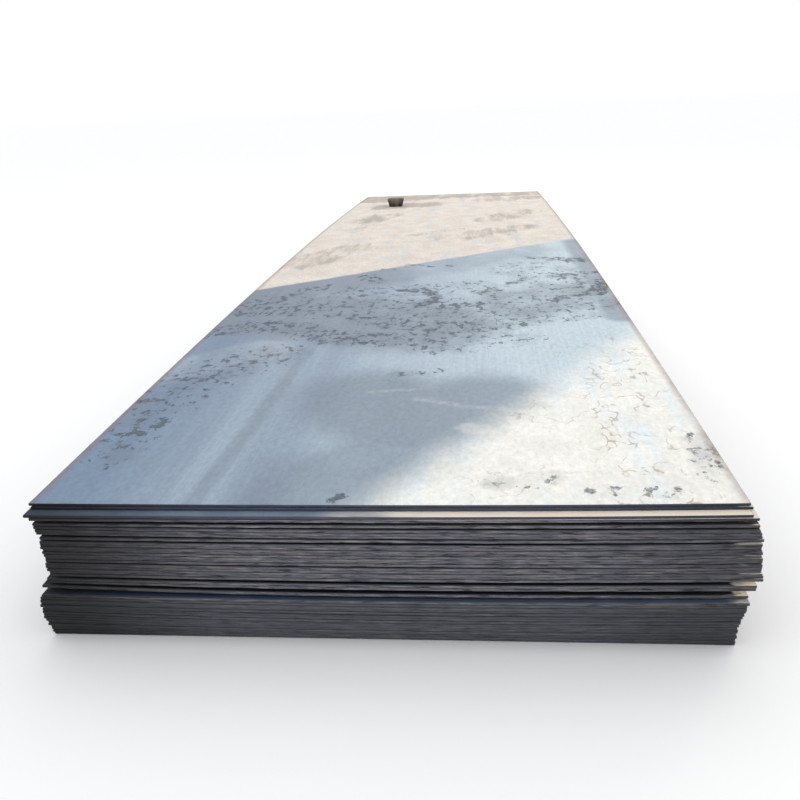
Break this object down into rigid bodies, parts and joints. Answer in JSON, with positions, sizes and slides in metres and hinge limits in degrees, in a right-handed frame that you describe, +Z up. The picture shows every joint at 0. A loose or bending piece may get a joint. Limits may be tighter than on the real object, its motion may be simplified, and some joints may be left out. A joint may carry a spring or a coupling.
{
  "type": "stack of steel plates",
  "caption": "Stack of long hot-rolled steel plates lying flat in uneven lifts, slightly bowed, with a small packing block on top.",
  "frame": {"origin": "centre of the underside of the lowest plate", "axes": "+Z up, +Y along the length towards the far end, +X to the right across the width"},
  "size_m": [1.5529, 6.0398, 0.3592],
  "materials": {
    "plate_steel": "hot-rolled mill scale on sheared edges, dusty, with light brown rust",
    "top_plate_steel": "smooth blue-grey mill scale with stains, scratches and dry dirt",
    "block_timber": "weathered dark sawn timber"
  },
  "bodies": {
    "root": {"floor_lift": "plate_steel", "second_lift": "plate_steel", "third_lift": "plate_steel", "low_ledge_plate": "plate_steel", "fourth_lift": "plate_steel", "fifth_lift": "plate_steel", "sixth_lift": "plate_steel", "middle_plate": "plate_steel", "seventh_lift": "plate_steel", "loose_plate": "plate_steel", "ledge_lift": "plate_steel", "under_plate": "plate_steel", "top_plate": "top_plate_steel", "packing_block": "block_timber"}
  },
  "joints": []
}
